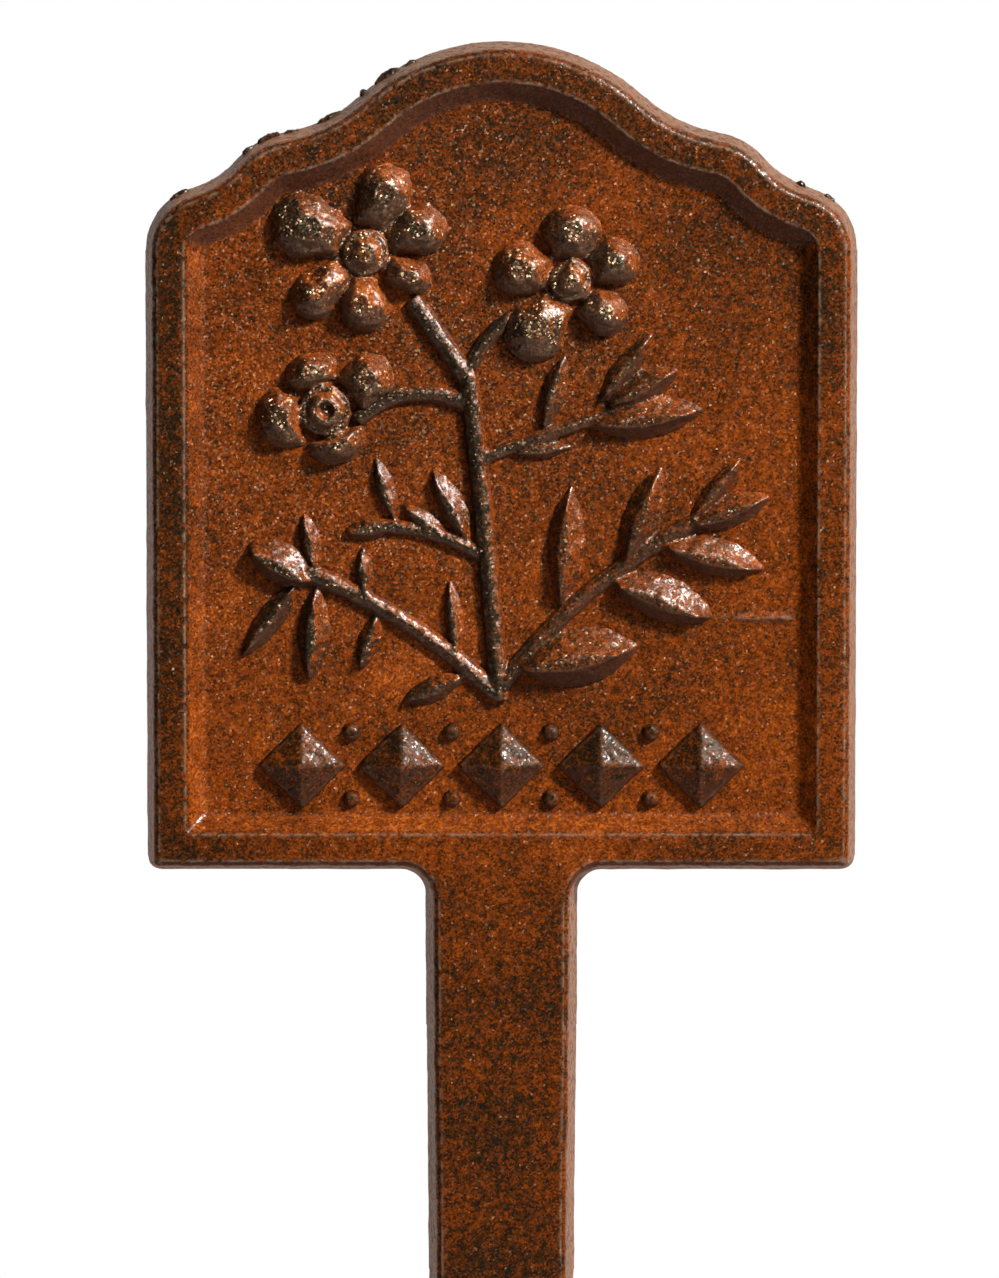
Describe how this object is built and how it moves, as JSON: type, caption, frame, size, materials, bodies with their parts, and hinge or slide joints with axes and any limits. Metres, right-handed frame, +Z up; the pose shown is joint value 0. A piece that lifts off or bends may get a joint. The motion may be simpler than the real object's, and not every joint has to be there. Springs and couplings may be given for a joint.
{
  "type": "plant label stake",
  "caption": "Cast iron garden marker: an ogee-topped panel with a raised rim, a flowering sprig in relief over a band of lozenges, on a tapered flat stake that is pushed into the soil.",
  "frame": {"origin": "soil line: on the flat back, on the stake's centreline, where the stake enters the soil", "axes": "+Z up along the stake, +X to the viewer's right, -Y out of the decorated front"},
  "size_m": [0.075, 0.0065, 0.2605],
  "materials": {
    "rusted_iron": "sand-cast iron under a brown rust patina, grainy",
    "rubbed_relief": "sand-cast iron relief, rust patina rubbed darker on the high places"
  },
  "bodies": {
    "root": {"panel": "rusted_iron", "rim": "rusted_iron", "stake": "rusted_iron", "stake_point": "rusted_iron", "main_stem": "rubbed_relief", "left_flower_button": "rubbed_relief", "left_corolla": "rubbed_relief", "left_flower_stalk": "rubbed_relief", "right_flower_button": "rubbed_relief", "right_corolla": "rubbed_relief", "right_flower_stalk": "rubbed_relief", "side_flower_button": "rubbed_relief", "side_corolla": "rubbed_relief", "side_flower_stalk": "rubbed_relief", "upper_twig": "rubbed_relief", "upper_twig_leaves": "rubbed_relief", "middle_twig": "rubbed_relief", "middle_twig_leaves": "rubbed_relief", "left_branch": "rubbed_relief", "left_branch_leaves": "rubbed_relief", "right_branch": "rubbed_relief", "right_branch_leaves": "rubbed_relief", "band_lozenges": "rubbed_relief", "band_beads": "rubbed_relief"}
  },
  "joints": []
}
